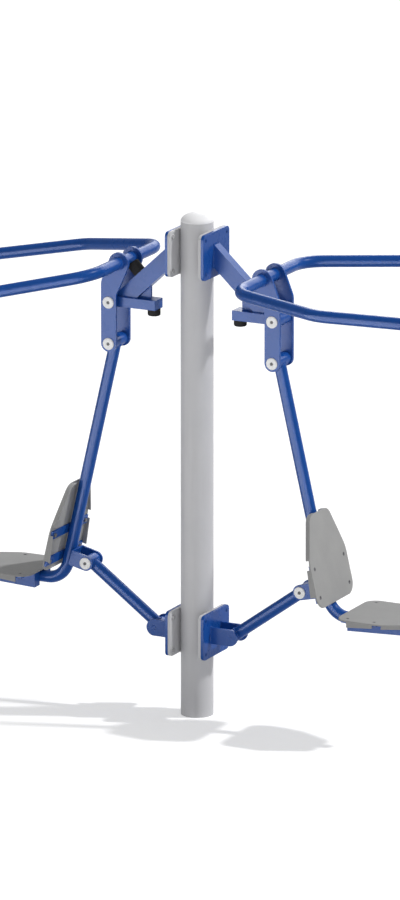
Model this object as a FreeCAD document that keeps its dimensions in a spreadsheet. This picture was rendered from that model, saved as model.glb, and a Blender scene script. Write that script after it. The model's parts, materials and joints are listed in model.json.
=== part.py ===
import FreeCAD, Part
import math
import os
import re
import Sketcher

# Outdoor pulldown machine: two stations, half a turn apart, share one round post.
# Each station hangs a reclined seat frame from a lever, and a link guides its lower end.
# Origin: centre of the post's foot, +Z up, +X towards the right station. Millimetres and degrees.
SIZES = {
    # Post and its cap
    "post_diameter": 114.3,
    "post_wall": 4.5,
    "post_height": 1764,
    "cap_rise": 30,
    "cap_plug_depth": 30,
    # Flanges on the post, and the bracket plates that bolt on to them
    "upper_flange_drop": 107,
    "lower_flange_height": 303,
    "flange_width": 200,
    "flange_height": 160,
    "flange_corner": 18,
    "flange_inset": 3.2,
    "post_flange_thickness": 10,
    "bracket_thickness": 10.5,
    "flange_screw_inset": 20,
    # Sloping arm, stop arm and main pivot
    "arm_root_drop": 5,
    "arm_aim_drop": 24.556,
    "arm_depth": 60,
    "arm_width": 40,
    "arm_wall": 4,
    "main_pivot_reach": 315.5,
    "main_pivot_drop": 204.4,
    "housing_diameter": 48,
    "bearing_diameter": 37,
    "bearing_width": 14,
    "axle_diameter": 20,
    "stop_arm_length": 167,
    "stop_arm_width": 60,
    "stop_arm_height": 35,
    "stop_arm_wall": 4,
    "gusset_setback": 27,
    "gusset_thickness": 10,
    "bumper_setback": 18,
    "bumper_diameter": 45,
    "bumper_height": 23,
    "bumper_edge": 3,
    "rest_stop_shift": 15,
    # Lever: two plates that carry the handle above the main pivot and the seat frame below it
    "lever_gap": 92,
    "lever_thickness": 10,
    "lever_width": 58,
    "lever_drop": 147,
    "lever_lean": 21,
    "lever_outer_bend": 72,
    "lever_inner_bend": 27,
    "handle_setback": 39.7,
    "handle_rise": 143,
    "handle_ring_diameter": 76,
    # Round tube of the handles, seat frames and links
    "tube_diameter": 42.4,
    "tube_wall": 2.9,
    "plug_lip": 4,
    "plug_depth": 22,
    # Handle, a flared U of tube, set at its own angle at each station
    "handle_half_span": 262,
    "handle_flare": 25.2,
    "handle_flare_length": 400,
    "handle_toe_in": 3.4,
    "handle_end_length": 375,
    "handle_corner_radius": 120,
    "handle_bend_radius": 160,
    "right_handle_tilt": 0.6,
    "left_handle_tilt": -11.3,
    # Seat frame, hung at the lever's lower pivot and reclined from the upright
    "hub_diameter": 46,
    "recline": 13.1,
    "seat_tube_height": 422.4,
    "seat_bend_radius": 80,
    "seat_heel_gap": 76,
    "seat_tube_overhang": 3,
    "link_pivot_rise": 99.4,
    "link_pivot_behind": 83.5,
    "clevis_gap": 66,
    "clevis_thickness": 8,
    "clevis_radius": 27,
    "clevis_rise": 28,
    "clevis_web": 6,
    "backrest_heel_rise": 48.8,
    # Link between the post and the seat frame
    "lower_pivot_reach": 146.8,
    "lower_ear_gap": 71,
    "lower_ear_thickness": 9,
    "lower_ear_radius": 29.5,
    "lower_pin_diameter": 16,
    "link_pin_diameter": 12,
    "link_play": 8,
    # Moulded tray, used flat as the seat and upright as the backrest
    "shell_length": 320,
    "shell_half_width": 141,
    "shell_straight": 165,
    "shell_nose_half_width": 70,
    "shell_heel_radius": 46,
    "shell_side_radius": 120,
    "shell_nose_radius": 40,
    "shell_depth": 16.5,
    "shell_heel_skirt": 8,
    "shell_wall": 5,
    "shell_edge_radius": 2.5,
    "heel_opening": 46,
    "side_notch_start": 142,
    "side_notch_length": 33,
    "nose_notch_length": 25,
    "shell_screw_start": 39,
    "shell_screw_pitch": 101,
    "shell_screw_half_spacing": 113.5,
    # Flat bars behind the trays, and rails under the seat
    "bar_width": 32,
    "bar_thickness": 6,
    "bar_end_gap": 2,
    "rail_half_spacing": 40.6,
    "rail_width": 38,
    "rail_depth": 50.5,
    "rail_end_depth": 40,
    "rail_wall": 3,
    "rail_start": 11,
    "rail_length": 229,
    # Pivot caps and flush socket screws
    "cap_diameter": 42,
    "cap_height": 4.5,
    "cap_chamfer": 1.5,
    "cap_socket": 7,
    "cap_socket_depth": 2.5,
    "screw_diameter": 8,
    "screw_head_diameter": 14,
    "screw_head_height": 3,
    "screw_socket": 4,
    "screw_socket_depth": 2,
    "screw_nut": 8,
    "screw_nut_height": 6,
    # Clearances
    "weld_gap": 0.2,
    "pin_fit": 0.05,
    "running_fit": 0.05,
    "side_play": 0.5,
    "rest_gap": 0.3,
    "screw_fit": 0.2,
}
BEARINGS = {"right": 0, "left": 180}

ORIGIN = FreeCAD.Vector(0, 0, 0)
ALONG_X = FreeCAD.Vector(1, 0, 0)
ALONG_Y = FreeCAD.Vector(0, 1, 0)
ALONG_Z = FreeCAD.Vector(0, 0, 1)

# Places that several pieces share, as formulas of the sizes
FLANGE_FACE = "(post_diameter / 2 - flange_inset + post_flange_thickness)"
BRACKET_FACE = f"({FLANGE_FACE} + bracket_thickness)"
UPPER_FLANGE = "(post_height - upper_flange_drop)"
MAIN_PIVOT = f"({UPPER_FLANGE} - main_pivot_drop)"
ARM_ROOT = f"({UPPER_FLANGE} - arm_root_drop)"
ARM_AIM = f"({MAIN_PIVOT} - arm_aim_drop)"
ARM_SLOPE = f"atan(({ARM_ROOT} - {ARM_AIM}) / (main_pivot_reach - {BRACKET_FACE}))"
STOP_START = "(main_pivot_reach - stop_arm_length)"
STOP_TOP = f"({MAIN_PIVOT} + stop_arm_height / 2)"
HANGER_HEIGHT = f"({MAIN_PIVOT} - lever_drop)"
HANDLE_REACH = "(main_pivot_reach - handle_setback)"
HANDLE_HEIGHT = f"({MAIN_PIVOT} + handle_rise)"
LEVER_SPAN = "(lever_gap + 2 * lever_thickness)"
CLEVIS_SPAN = "(clevis_gap + 2 * clevis_thickness)"
LOWER_EAR_SPAN = "(lower_ear_gap + 2 * lower_ear_thickness)"
BAR_SEAT = "(tube_diameter / 2 + weld_gap)"
SHELL_FRONT = f"({BAR_SEAT} + bar_thickness + shell_wall)"
BEND_DROP = f"({HANGER_HEIGHT} - seat_tube_height)"
BEND_REACH = f"(main_pivot_reach + {BEND_DROP} * tan(recline))"
BEND_ALONG = f"({BEND_DROP} / cos(recline))"
LINK_ALONG = f"({BEND_ALONG} - link_pivot_rise)"
BACKREST_HEEL = f"({BEND_ALONG} - backrest_heel_rise)"
SEAT_HEEL = f"({BEND_REACH} + seat_heel_gap)"
SEAT_TUBE_END = f"({SEAT_HEEL} + shell_length + seat_tube_overhang)"

doc = FreeCAD.newDocument("pulldown_machine")
sheet = doc.addObject("Spreadsheet::Sheet", "sizes")
for row, (alias, number_value) in enumerate(SIZES.items(), start=1):
    sheet.set(f"A{row}", alias)
    sheet.set(f"B{row}", str(number_value))
    sheet.setAlias(f"B{row}", alias)
doc.recompute()


def formula(text):
    """An expression of the sheet's cells, written with their bare aliases."""
    return re.sub(r"[a-z_]+", lambda word: f"sizes.{word[0]}" if word[0] in SIZES else word[0], text)


def number(text):
    value = sheet.evalExpression(formula(text))
    return float(getattr(value, "Value", value))


def bind(item, formulas):
    for path, text in formulas.items():
        item.setExpression(path, formula(text))


def place(item, at, axis=None, angle=None):
    if axis:
        item.Placement = FreeCAD.Placement(ORIGIN, FreeCAD.Rotation(axis, number(angle)))
        bind(item, {"Placement.Rotation.Angle": angle})
    bind(item, {f"Placement.Base.{letter}": text for letter, text in zip("xyz", at)})
    return item


def frame_point(along, forward):
    """X and Z of a point given along the reclined seat tube from its hanger, and forward of its axis."""
    reach = f"(main_pivot_reach + ({along}) * sin(recline) + ({forward}) * cos(recline))"
    height = f"({HANGER_HEIGHT} - ({along}) * cos(recline) + ({forward}) * sin(recline))"
    return reach, height


LINK_REACH, LINK_HEIGHT = frame_point(LINK_ALONG, "-link_pivot_behind")


def cylinder(radius, height):
    item = doc.addObject("Part::Cylinder", "cylinder")
    bind(item, {"Radius": radius, "Height": height})
    return item


def box(length, width, height):
    item = doc.addObject("Part::Box", "box")
    bind(item, {"Length": length, "Width": width, "Height": height})
    return item


def frustum(lower_radius, upper_radius, height):
    item = doc.addObject("Part::Cone", "frustum")
    bind(item, {"Radius1": lower_radius, "Radius2": upper_radius, "Height": height})
    return item


def hexagon(circumradius, height):
    item = doc.addObject("Part::Prism", "hexagon")
    item.Polygon = 6
    bind(item, {"Circumradius": circumradius, "Height": height})
    return item


def cut(base, tool):
    item = doc.addObject("Part::Cut", "cut")
    item.Base = base
    item.Tool = tool
    return item


def fuse(pieces):
    item = doc.addObject("Part::MultiFuse", "fuse")
    item.Shapes = pieces
    return item


def group(pieces):
    item = doc.addObject("Part::Compound", "group")
    item.Links = pieces
    return item


def mirrored_pair(item):
    """The item and its mirror image across the station's middle plane."""
    mirror = doc.addObject("Part::Mirroring", "mirror")
    mirror.Source = item
    mirror.Normal = ALONG_Y
    return group([item, mirror])


def sleeve(outer_radius, inner_radius, length):
    return cut(cylinder(outer_radius, length), cylinder(inner_radius, length))


def across(item, reach, height, length):
    """Lays an upright round item across the station, centred on its middle plane."""
    return place(item, (reach, f"({length}) / 2", height), ALONG_X, "90")


def new_body():
    return doc.addObject("PartDesign::Body", "body")


def new_sketch(body, role, base=("0", "0", "0"), axis=None, angle=None):
    sketch = body.newObject("Sketcher::SketchObject", "sketch")
    plane = next(feature for feature in body.Origin.OriginFeatures if feature.Role == role)
    sketch.AttachmentSupport = [(plane, "")]
    sketch.MapMode = "FlatFace"
    if axis:
        sketch.AttachmentOffset = FreeCAD.Placement(ORIGIN, FreeCAD.Rotation(axis, number(angle)))
        bind(sketch, {"AttachmentOffset.Rotation.Angle": angle})
    bind(sketch, {f"AttachmentOffset.Base.{letter}": text for letter, text in zip("xyz", base)})
    return sketch


def fix_point(sketch, geometry, position, x, y):
    for kind, text in (("DistanceX", x), ("DistanceY", y)):
        constraint = Sketcher.Constraint(kind, -1, 1, geometry, position, number(text))
        bind(sketch, {f"Constraints[{sketch.addConstraint(constraint)}]": text})


def fix_radius(sketch, geometry, radius):
    constraint = Sketcher.Constraint("Radius", geometry, number(radius))
    bind(sketch, {f"Constraints[{sketch.addConstraint(constraint)}]": radius})


def draw_circle(sketch, x, y, radius):
    centre = FreeCAD.Vector(number(x), number(y), 0)
    circle = sketch.addGeometry(Part.Circle(centre, ALONG_Z, number(radius)))
    fix_point(sketch, circle, 3, x, y)
    fix_radius(sketch, circle, radius)


def draw_runs(sketch, corners, closed=True):
    """Straight runs through corners (x, y, radius); a tangent arc rounds each corner with a radius."""
    count = len(corners)
    points = [FreeCAD.Vector(number(x), number(y), 0) for x, y, radius in corners]
    arrivals = list(points)
    departures = list(points)
    arcs = {}
    for place_in_row, (x, y, radius) in enumerate(corners):
        if not radius:
            continue
        corner = points[place_in_row]
        back = (points[place_in_row - 1] - corner).normalize()
        ahead = (points[(place_in_row + 1) % count] - corner).normalize()
        half_angle = back.getAngle(ahead) / 2
        reach = number(radius) / math.tan(half_angle)
        arrivals[place_in_row] = corner + back * reach
        departures[place_in_row] = corner + ahead * reach
        centre = corner + (back + ahead).normalize() * (number(radius) / math.sin(half_angle))
        left_turn = back.cross(ahead).z < 0
        ends = [arrivals[place_in_row], departures[place_in_row]]
        angles = [math.atan2(*reversed(tuple(end - centre)[:2])) for end in ends]
        angles = angles if left_turn else angles[::-1]
        circle = Part.Circle(centre, ALONG_Z, number(radius))
        arcs[place_in_row] = (Part.ArcOfCircle(circle, *angles), left_turn)
    run_count = count if closed else count - 1
    runs = []
    for place_in_row in range(run_count):
        following = (place_in_row + 1) % count
        line = Part.LineSegment(departures[place_in_row], arrivals[following])
        runs.append(sketch.addGeometry(line))
    for place_in_row, (x, y, radius) in enumerate(corners):
        before = runs[place_in_row - 1] if closed or place_in_row > 0 else None
        after = runs[place_in_row] if place_in_row < run_count else None
        if not radius:
            if before is not None and after is not None:
                sketch.addConstraint(Sketcher.Constraint("Coincident", before, 2, after, 1))
            vertex = (after, 1) if after is not None else (before, 2)
            fix_point(sketch, *vertex, x, y)
            continue
        shape, left_turn = arcs[place_in_row]
        arc = sketch.addGeometry(shape)
        corner = sketch.addGeometry(Part.Point(points[place_in_row]), True)
        fix_point(sketch, corner, 1, x, y)
        sketch.addConstraint(Sketcher.Constraint("PointOnObject", corner, 1, before))
        sketch.addConstraint(Sketcher.Constraint("PointOnObject", corner, 1, after))
        first, last = (1, 2) if left_turn else (2, 1)
        sketch.addConstraint(Sketcher.Constraint("Tangent", before, 2, arc, first))
        sketch.addConstraint(Sketcher.Constraint("Tangent", arc, last, after, 1))
        fix_radius(sketch, arc, radius)


def draw_box(sketch, left, bottom, right, top, radius=None):
    corners = [(left, bottom), (right, bottom), (right, top), (left, top)]
    draw_runs(sketch, [(x, y, radius) for x, y in corners])


def add_feature(body, kind, sketch, length):
    feature = body.newObject(f"PartDesign::{kind}", kind.lower())
    feature.Profile = sketch
    bind(feature, {"Length": length})
    body.Tip = feature
    return feature


def pad(body, sketch, length):
    return add_feature(body, "Pad", sketch, length)


def pocket(body, sketch, length, forward=False):
    """Cuts behind the sketch, or in front of it where forward is set."""
    feature = add_feature(body, "Pocket", sketch, length)
    feature.Reversed = forward
    return feature


def add_pipe(body, profile, path):
    feature = body.newObject("PartDesign::AdditivePipe", "pipe")
    feature.Profile = profile
    feature.Spine = path
    body.Tip = feature
    return feature


def draw_tube_section(sketch):
    draw_circle(sketch, "0", "0", "tube_diameter / 2")
    draw_circle(sketch, "0", "0", "tube_diameter / 2 - tube_wall")


def socket_screw(grip):
    """A flush screw along +Z, its head's face at the origin and its nut behind the grip."""
    head = place(cylinder("screw_head_diameter / 2", "screw_head_height"), ("0", "0", "-screw_head_height"))
    shank_length = f"({grip} + screw_nut_height)"
    shank = place(cylinder("screw_diameter / 2", shank_length), ("0", "0", f"-{shank_length}"))
    nut = place(hexagon("screw_nut", "screw_nut_height"), ("0", "0", f"-{shank_length}"))
    socket = place(hexagon("screw_socket", "screw_socket_depth"), ("0", "0", "-screw_socket_depth"))
    return cut(fuse([head, shank, nut]), socket)


def pivot_cap():
    """A round cap along +Z with a chamfered rim and a hexagon socket, its back at the origin."""
    straight = "(cap_height - cap_chamfer)"
    rim = frustum("cap_diameter / 2", "cap_diameter / 2 - cap_chamfer", "cap_chamfer")
    place(rim, ("0", "0", straight))
    socket = place(hexagon("cap_socket", "cap_socket_depth"), ("0", "0", "cap_height - cap_socket_depth"))
    return cut(fuse([cylinder("cap_diameter / 2", straight), rim]), socket)


def cap_pair(reach, height, span):
    cap = place(pivot_cap(), (reach, f"-({span}) / 2", height), ALONG_X, "90")
    return mirrored_pair(cap)


def tube_plug():
    """A plug along +Z: a lip as wide as the tube, on a spigot that fits inside it."""
    spigot = cylinder("tube_diameter / 2 - tube_wall - screw_fit", "plug_depth")
    lip = cylinder("tube_diameter / 2", "plug_lip")
    return fuse([place(spigot, ("0", "0", "-plug_depth")), lip])


def flange_screw_places(height):
    sideways = "(flange_width / 2 - flange_screw_inset)"
    upward = "(flange_height / 2 - flange_screw_inset)"
    return [(f"{y} * {sideways}", f"{height} + {z} * {upward}") for y in (-1, 1) for z in (-1, 1)]


def flange_plate(height, start, thickness):
    body = new_body()
    sketch = new_sketch(body, "YZ_Plane", ("0", "0", start))
    bottom, top = f"{height} - flange_height / 2", f"{height} + flange_height / 2"
    draw_box(sketch, "-flange_width / 2", bottom, "flange_width / 2", top, "flange_corner")
    for y, z in flange_screw_places(height):
        draw_circle(sketch, y, z, "screw_diameter / 2 + screw_fit")
    pad(body, sketch, thickness)
    return body


def bracket_plate(height):
    body = flange_plate(height, FLANGE_FACE, "bracket_thickness")
    sinks = new_sketch(body, "YZ_Plane", ("0", "0", BRACKET_FACE))
    for y, z in flange_screw_places(height):
        draw_circle(sinks, y, z, "screw_head_diameter / 2 + screw_fit")
    pocket(body, sinks, "screw_head_height")
    return body


def post():
    return sleeve("post_diameter / 2", "post_diameter / 2 - post_wall", "post_height")


def post_cap():
    dome = doc.addObject("Part::Ellipsoid", "dome")
    dome.Angle1 = 0
    bind(dome, {"Radius1": "cap_rise", "Radius2": "post_diameter / 2"})
    place(dome, ("0", "0", "post_height"))
    plug = cylinder("post_diameter / 2 - post_wall - screw_fit", "cap_plug_depth")
    return fuse([dome, place(plug, ("0", "0", "post_height - cap_plug_depth"))])


def post_flanges():
    flanges = []
    for bearing in BEARINGS.values():
        for height in (UPPER_FLANGE, "lower_flange_height"):
            plate = flange_plate(height, "post_diameter / 2 - flange_inset", "post_flange_thickness")
            flange = cut(plate, cylinder("post_diameter / 2 + weld_gap", "post_height"))
            flange.Placement = FreeCAD.Placement(ORIGIN, FreeCAD.Rotation(ALONG_Z, bearing))
            flanges.append(flange)
    return group(flanges)


def upper_bracket_plate(side):
    return bracket_plate(UPPER_FLANGE)


def lower_bracket_plate(side):
    return bracket_plate("lower_flange_height")


def flange_screws(side):
    screws = []
    for height in (UPPER_FLANGE, "lower_flange_height"):
        for y, z in flange_screw_places(height):
            screw = socket_screw("(post_flange_thickness + bracket_thickness)")
            screws.append(place(screw, (BRACKET_FACE, y, z), ALONG_Y, "90"))
    return group(screws)


def draw_arm(sketch, depth):
    """Side view of the sloping arm, from the bracket plate down to the top of the stop arm."""
    half_rise = f"({depth} / 2 / cos({ARM_SLOPE}))"
    lower_end = f"{BRACKET_FACE} + ({ARM_ROOT} - {half_rise} - {STOP_TOP}) / tan({ARM_SLOPE})"
    upper_end = f"{BRACKET_FACE} + ({ARM_ROOT} + {half_rise} - {STOP_TOP}) / tan({ARM_SLOPE})"
    draw_runs(
        sketch,
        [
            (BRACKET_FACE, f"{ARM_ROOT} - {half_rise}", None),
            (lower_end, STOP_TOP, None),
            (upper_end, STOP_TOP, None),
            (BRACKET_FACE, f"{ARM_ROOT} + {half_rise}", None),
        ],
    )


def housing_space():
    space = cylinder("housing_diameter / 2 + weld_gap", "lever_gap")
    return across(space, "main_pivot_reach", MAIN_PIVOT, "lever_gap")


def upper_arm(side):
    body = new_body()
    outside = new_sketch(body, "XZ_Plane", ("0", "0", "-arm_width / 2"))
    draw_arm(outside, "arm_depth")
    pad(body, outside, "arm_width")
    inside = new_sketch(body, "XZ_Plane", ("0", "0", "arm_width / 2 - arm_wall"))
    draw_arm(inside, "(arm_depth - 2 * arm_wall)")
    pocket(body, inside, "arm_width - 2 * arm_wall")
    return cut(body, housing_space())


def stop_arm(side):
    bottom = f"({MAIN_PIVOT} - stop_arm_height / 2)"
    outside = box("stop_arm_length", "stop_arm_width", "stop_arm_height")
    corner = (STOP_START, "-stop_arm_width / 2", bottom)
    place(outside, corner)
    inside_width, inside_height = "stop_arm_width - 2 * stop_arm_wall", "stop_arm_height - 2 * stop_arm_wall"
    inside = box("stop_arm_length", inside_width, inside_height)
    place(inside, [f"{text} + stop_arm_wall" for text in corner])
    beam = cut(cut(outside, inside), housing_space())
    gusset = new_body()
    sketch = new_sketch(gusset, "XZ_Plane", ("0", "0", "-gusset_thickness / 2"))
    arm_underside = f"({ARM_ROOT} - arm_depth / 2 / cos({ARM_SLOPE}))"
    start = f"({STOP_START} + gusset_setback)"
    draw_runs(
        sketch,
        [
            (start, STOP_TOP, None),
            (f"{BRACKET_FACE} + ({arm_underside} - {STOP_TOP}) / tan({ARM_SLOPE})", STOP_TOP, None),
            (start, f"{arm_underside} - ({start} - {BRACKET_FACE}) * tan({ARM_SLOPE})", None),
        ],
    )
    pad(gusset, sketch, "gusset_thickness")
    return group([beam, gusset])


def rubber_bumper(height):
    """A rubber stop along +Z with a bevelled end, its foot at the origin."""
    straight = f"({height} - bumper_edge)"
    end = frustum("bumper_diameter / 2", "bumper_diameter / 2 - bumper_edge", "bumper_edge")
    place(end, ("0", "0", straight))
    return fuse([cylinder("bumper_diameter / 2", straight), end])


def stop_bumpers(side):
    """One stop hangs under the stop arm; the other stands on the sloping arm, where the handle rests."""
    hanging = rubber_bumper("bumper_height")
    place(hanging, (f"{STOP_START} + bumper_setback", "0", f"{STOP_TOP} - stop_arm_height"), ALONG_X, "180")
    run, rise = f"({HANDLE_REACH} - {BRACKET_FACE})", f"({HANDLE_HEIGHT} - {ARM_ROOT})"
    along = f"({run} * cos({ARM_SLOPE}) - {rise} * sin({ARM_SLOPE}) - rest_stop_shift)"
    above = f"({run} * sin({ARM_SLOPE}) + {rise} * cos({ARM_SLOPE}))"
    standing = rubber_bumper(f"({above} - arm_depth / 2 - tube_diameter / 2 - rest_gap)")
    foot_reach = f"{BRACKET_FACE} + {along} * cos({ARM_SLOPE}) + arm_depth / 2 * sin({ARM_SLOPE})"
    foot_height = f"{ARM_ROOT} - {along} * sin({ARM_SLOPE}) + arm_depth / 2 * cos({ARM_SLOPE})"
    place(standing, (foot_reach, "0", foot_height), ALONG_Y, ARM_SLOPE)
    return group([hanging, standing])


def pivot_housing(side):
    length = "(lever_gap - 2 * side_play)"
    housing = sleeve("housing_diameter / 2", "bearing_diameter / 2 + pin_fit", length)
    return group([across(housing, "main_pivot_reach", MAIN_PIVOT, length)])


def main_bearings(side):
    ring = sleeve("bearing_diameter / 2", "axle_diameter / 2 + running_fit", "bearing_width")
    outer_end = "-lever_gap / 2 + side_play"
    place(ring, ("main_pivot_reach", f"{outer_end} + bearing_width", MAIN_PIVOT), ALONG_X, "90")
    return mirrored_pair(ring)


def lower_ears(side):
    length = f"(lower_pivot_reach - {BRACKET_FACE})"
    start = "-lower_ear_gap / 2 - lower_ear_thickness"
    strap = box(length, "lower_ear_thickness", "2 * lower_ear_radius")
    place(strap, (BRACKET_FACE, start, "lower_flange_height - lower_ear_radius"))
    pivot = ("lower_pivot_reach", f"{start} + lower_ear_thickness", "lower_flange_height")
    end = place(cylinder("lower_ear_radius", "lower_ear_thickness"), pivot, ALONG_X, "90")
    hole = place(cylinder("lower_pin_diameter / 2 + pin_fit", "lower_ear_thickness"), pivot, ALONG_X, "90")
    return mirrored_pair(cut(fuse([strap, end]), hole))


def lower_pin(side):
    pin = cylinder("lower_pin_diameter / 2", LOWER_EAR_SPAN)
    return group([across(pin, "lower_pivot_reach", "lower_flange_height", LOWER_EAR_SPAN)])


def lever_plates(side):
    body = new_body()
    inner_face = ("0", "0", "lever_gap / 2")
    outer_edge, inner_edge = "main_pivot_reach + lever_width / 2", "main_pivot_reach - lever_width / 2"
    ring_x = "handle_ring_diameter / 2 * cos(lever_lean)"
    ring_z = "handle_ring_diameter / 2 * sin(lever_lean)"
    strap = new_sketch(body, "XZ_Plane", inner_face)
    draw_runs(
        strap,
        [
            (inner_edge, HANGER_HEIGHT, None),
            (outer_edge, HANGER_HEIGHT, None),
            (outer_edge, f"{MAIN_PIVOT} + lever_outer_bend", "lever_width"),
            (f"{HANDLE_REACH} + {ring_x}", f"{HANDLE_HEIGHT} + {ring_z}", None),
            (f"{HANDLE_REACH} - {ring_x}", f"{HANDLE_HEIGHT} - {ring_z}", None),
            (inner_edge, f"{MAIN_PIVOT} + lever_inner_bend", "lever_width"),
        ],
    )
    pad(body, strap, "lever_thickness")
    ends = new_sketch(body, "XZ_Plane", inner_face)
    draw_circle(ends, "main_pivot_reach", HANGER_HEIGHT, "lever_width / 2")
    draw_circle(ends, HANDLE_REACH, HANDLE_HEIGHT, "handle_ring_diameter / 2")
    pad(body, ends, "lever_thickness")
    holes = new_sketch(body, "XZ_Plane", inner_face)
    for height in (MAIN_PIVOT, HANGER_HEIGHT):
        draw_circle(holes, "main_pivot_reach", height, "axle_diameter / 2 + pin_fit")
    draw_circle(holes, HANDLE_REACH, HANDLE_HEIGHT, "tube_diameter / 2 + weld_gap")
    pocket(body, holes, "lever_thickness", forward=True)
    return mirrored_pair(body)


def main_axle(side):
    axle = cylinder("axle_diameter / 2", LEVER_SPAN)
    return group([across(axle, "main_pivot_reach", MAIN_PIVOT, LEVER_SPAN)])


def hanger_axle(side):
    axle = cylinder("axle_diameter / 2", LEVER_SPAN)
    return group([across(axle, "main_pivot_reach", HANGER_HEIGHT, LEVER_SPAN)])


def lever_caps(side):
    heights = (MAIN_PIVOT, HANGER_HEIGHT)
    return group([cap_pair("main_pivot_reach", height, LEVER_SPAN) for height in heights])


HANDLE_KNEE = "(handle_half_span + handle_flare_length * tan(handle_flare))"
HANDLE_LENGTH = "(handle_flare_length + handle_end_length)"
HANDLE_END = f"({HANDLE_KNEE} - handle_end_length * tan(handle_toe_in))"


def handle_bar(side):
    body = new_body()
    path = new_sketch(body, "XY_Plane", (HANDLE_REACH, "0", HANDLE_HEIGHT), ALONG_Y, f"-{side}_handle_tilt")
    draw_runs(
        path,
        [
            ("0", "0", None),
            ("0", "handle_half_span", "handle_corner_radius"),
            ("handle_flare_length", HANDLE_KNEE, "handle_bend_radius"),
            (HANDLE_LENGTH, HANDLE_END, None),
        ],
        closed=False,
    )
    section = new_sketch(body, "XZ_Plane", (HANDLE_REACH, HANDLE_HEIGHT, "0"))
    draw_tube_section(section)
    arm = add_pipe(body, section, path)
    whole = body.newObject("PartDesign::Mirrored", "whole")
    whole.Originals = [arm]
    middle = next(feature for feature in body.Origin.OriginFeatures if feature.Role == "XZ_Plane")
    whole.MirrorPlane = (middle, [""])
    body.Tip = whole
    return body


def handle_plugs(side):
    turned = group([place(tube_plug(), ("0", "0", "0"), ALONG_Y, "90")])
    place(turned, (HANDLE_LENGTH, HANDLE_END, "0"), ALONG_Z, "-handle_toe_in")
    pair = mirrored_pair(turned)
    place(pair, (HANDLE_REACH, "0", HANDLE_HEIGHT), ALONG_Y, f"-{side}_handle_tilt")
    return group([pair])


def hanger_hub(side):
    length = "(lever_gap - 2 * side_play)"
    hub = sleeve("hub_diameter / 2", "axle_diameter / 2 + running_fit", length)
    return group([across(hub, "main_pivot_reach", HANGER_HEIGHT, length)])


def seat_tube(side):
    body = new_body()
    path = new_sketch(body, "XZ_Plane")
    draw_runs(
        path,
        [
            ("main_pivot_reach", HANGER_HEIGHT, None),
            (BEND_REACH, "seat_tube_height", "seat_bend_radius"),
            (SEAT_TUBE_END, "seat_tube_height", None),
        ],
        closed=False,
    )
    section = new_sketch(body, "XY_Plane", ("main_pivot_reach", "0", HANGER_HEIGHT), ALONG_Y, "-recline")
    draw_tube_section(section)
    add_pipe(body, section, path)
    hub_space = cylinder("hub_diameter / 2 + weld_gap", "lever_gap")
    return cut(body, across(hub_space, "main_pivot_reach", HANGER_HEIGHT, "lever_gap"))


def seat_tube_plug(side):
    return group([place(tube_plug(), (SEAT_TUBE_END, "0", "seat_tube_height"), ALONG_Y, "90")])


def link_clevis(side):
    body = new_body()
    half_span = f"{CLEVIS_SPAN} / 2"

    def layer(offset):
        return new_sketch(body, "XZ_Plane", ("main_pivot_reach", HANGER_HEIGHT, offset), ALONG_Z, "recline")

    root = f"-{BAR_SEAT}"
    cheek = layer(f"-{half_span}")
    draw_runs(
        cheek,
        [
            ("-link_pivot_behind", f"-{LINK_ALONG} - clevis_radius", None),
            (root, f"-{LINK_ALONG} - clevis_radius", None),
            (root, f"-{LINK_ALONG} + clevis_rise", None),
            ("-link_pivot_behind", f"-{LINK_ALONG} + clevis_radius", None),
        ],
    )
    pad(body, cheek, CLEVIS_SPAN)
    end = layer(f"-{half_span}")
    draw_circle(end, "-link_pivot_behind", f"-{LINK_ALONG}", "clevis_radius")
    pad(body, end, CLEVIS_SPAN)
    slot = layer("clevis_gap / 2")
    draw_box(
        slot,
        "-link_pivot_behind - 2 * clevis_radius",
        f"-{LINK_ALONG} - 2 * clevis_radius",
        f"{root} - clevis_web",
        f"-{LINK_ALONG} + 2 * clevis_rise",
    )
    pocket(body, slot, "clevis_gap")
    hole = layer(half_span)
    draw_circle(hole, "-link_pivot_behind", f"-{LINK_ALONG}", "link_pin_diameter / 2 + pin_fit")
    pocket(body, hole, CLEVIS_SPAN)
    return body


def link_pin(side):
    pin = cylinder("link_pin_diameter / 2", CLEVIS_SPAN)
    return group([across(pin, LINK_REACH, LINK_HEIGHT, CLEVIS_SPAN)])


def link_caps(side):
    return group([cap_pair(LINK_REACH, LINK_HEIGHT, CLEVIS_SPAN)])


SHELL_SCREW_ROWS = ("shell_screw_start", "(shell_screw_start + shell_screw_pitch)")

SEAT_SURFACE = f"(seat_tube_height + {SHELL_FRONT})"


BAR_HALF_LENGTH = "(shell_half_width - shell_wall - bar_end_gap)"


def screw_holes(at_row):
    """Clearance holes through a bar, one for each screw of its row."""
    holes = []
    for sign in (-1, 1):
        hole = cylinder("screw_diameter / 2 + screw_fit", "bar_thickness")
        holes.append(at_row(hole, f"{sign} * shell_screw_half_spacing"))
    return fuse(holes)


def backrest_bar(row):
    bar = box("bar_thickness", f"2 * {BAR_HALF_LENGTH}", "bar_width")
    reach, height = frame_point(f"{BACKREST_HEEL} - {row} + bar_width / 2", BAR_SEAT)
    place(bar, (reach, f"-{BAR_HALF_LENGTH}", height), ALONG_Y, "-recline")
    reach, height = frame_point(f"{BACKREST_HEEL} - {row}", BAR_SEAT)
    holes = screw_holes(lambda hole, y: place(hole, (reach, y, height), ALONG_Y, "90 - recline"))
    return cut(bar, holes)


def seat_bar(row):
    bar = box("bar_width", f"2 * {BAR_HALF_LENGTH}", "bar_thickness")
    bottom = f"seat_tube_height + {BAR_SEAT}"
    place(bar, (f"{SEAT_HEEL} + {row} - bar_width / 2", f"-{BAR_HALF_LENGTH}", bottom))
    return cut(bar, screw_holes(lambda hole, y: place(hole, (f"{SEAT_HEEL} + {row}", y, bottom))))


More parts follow.
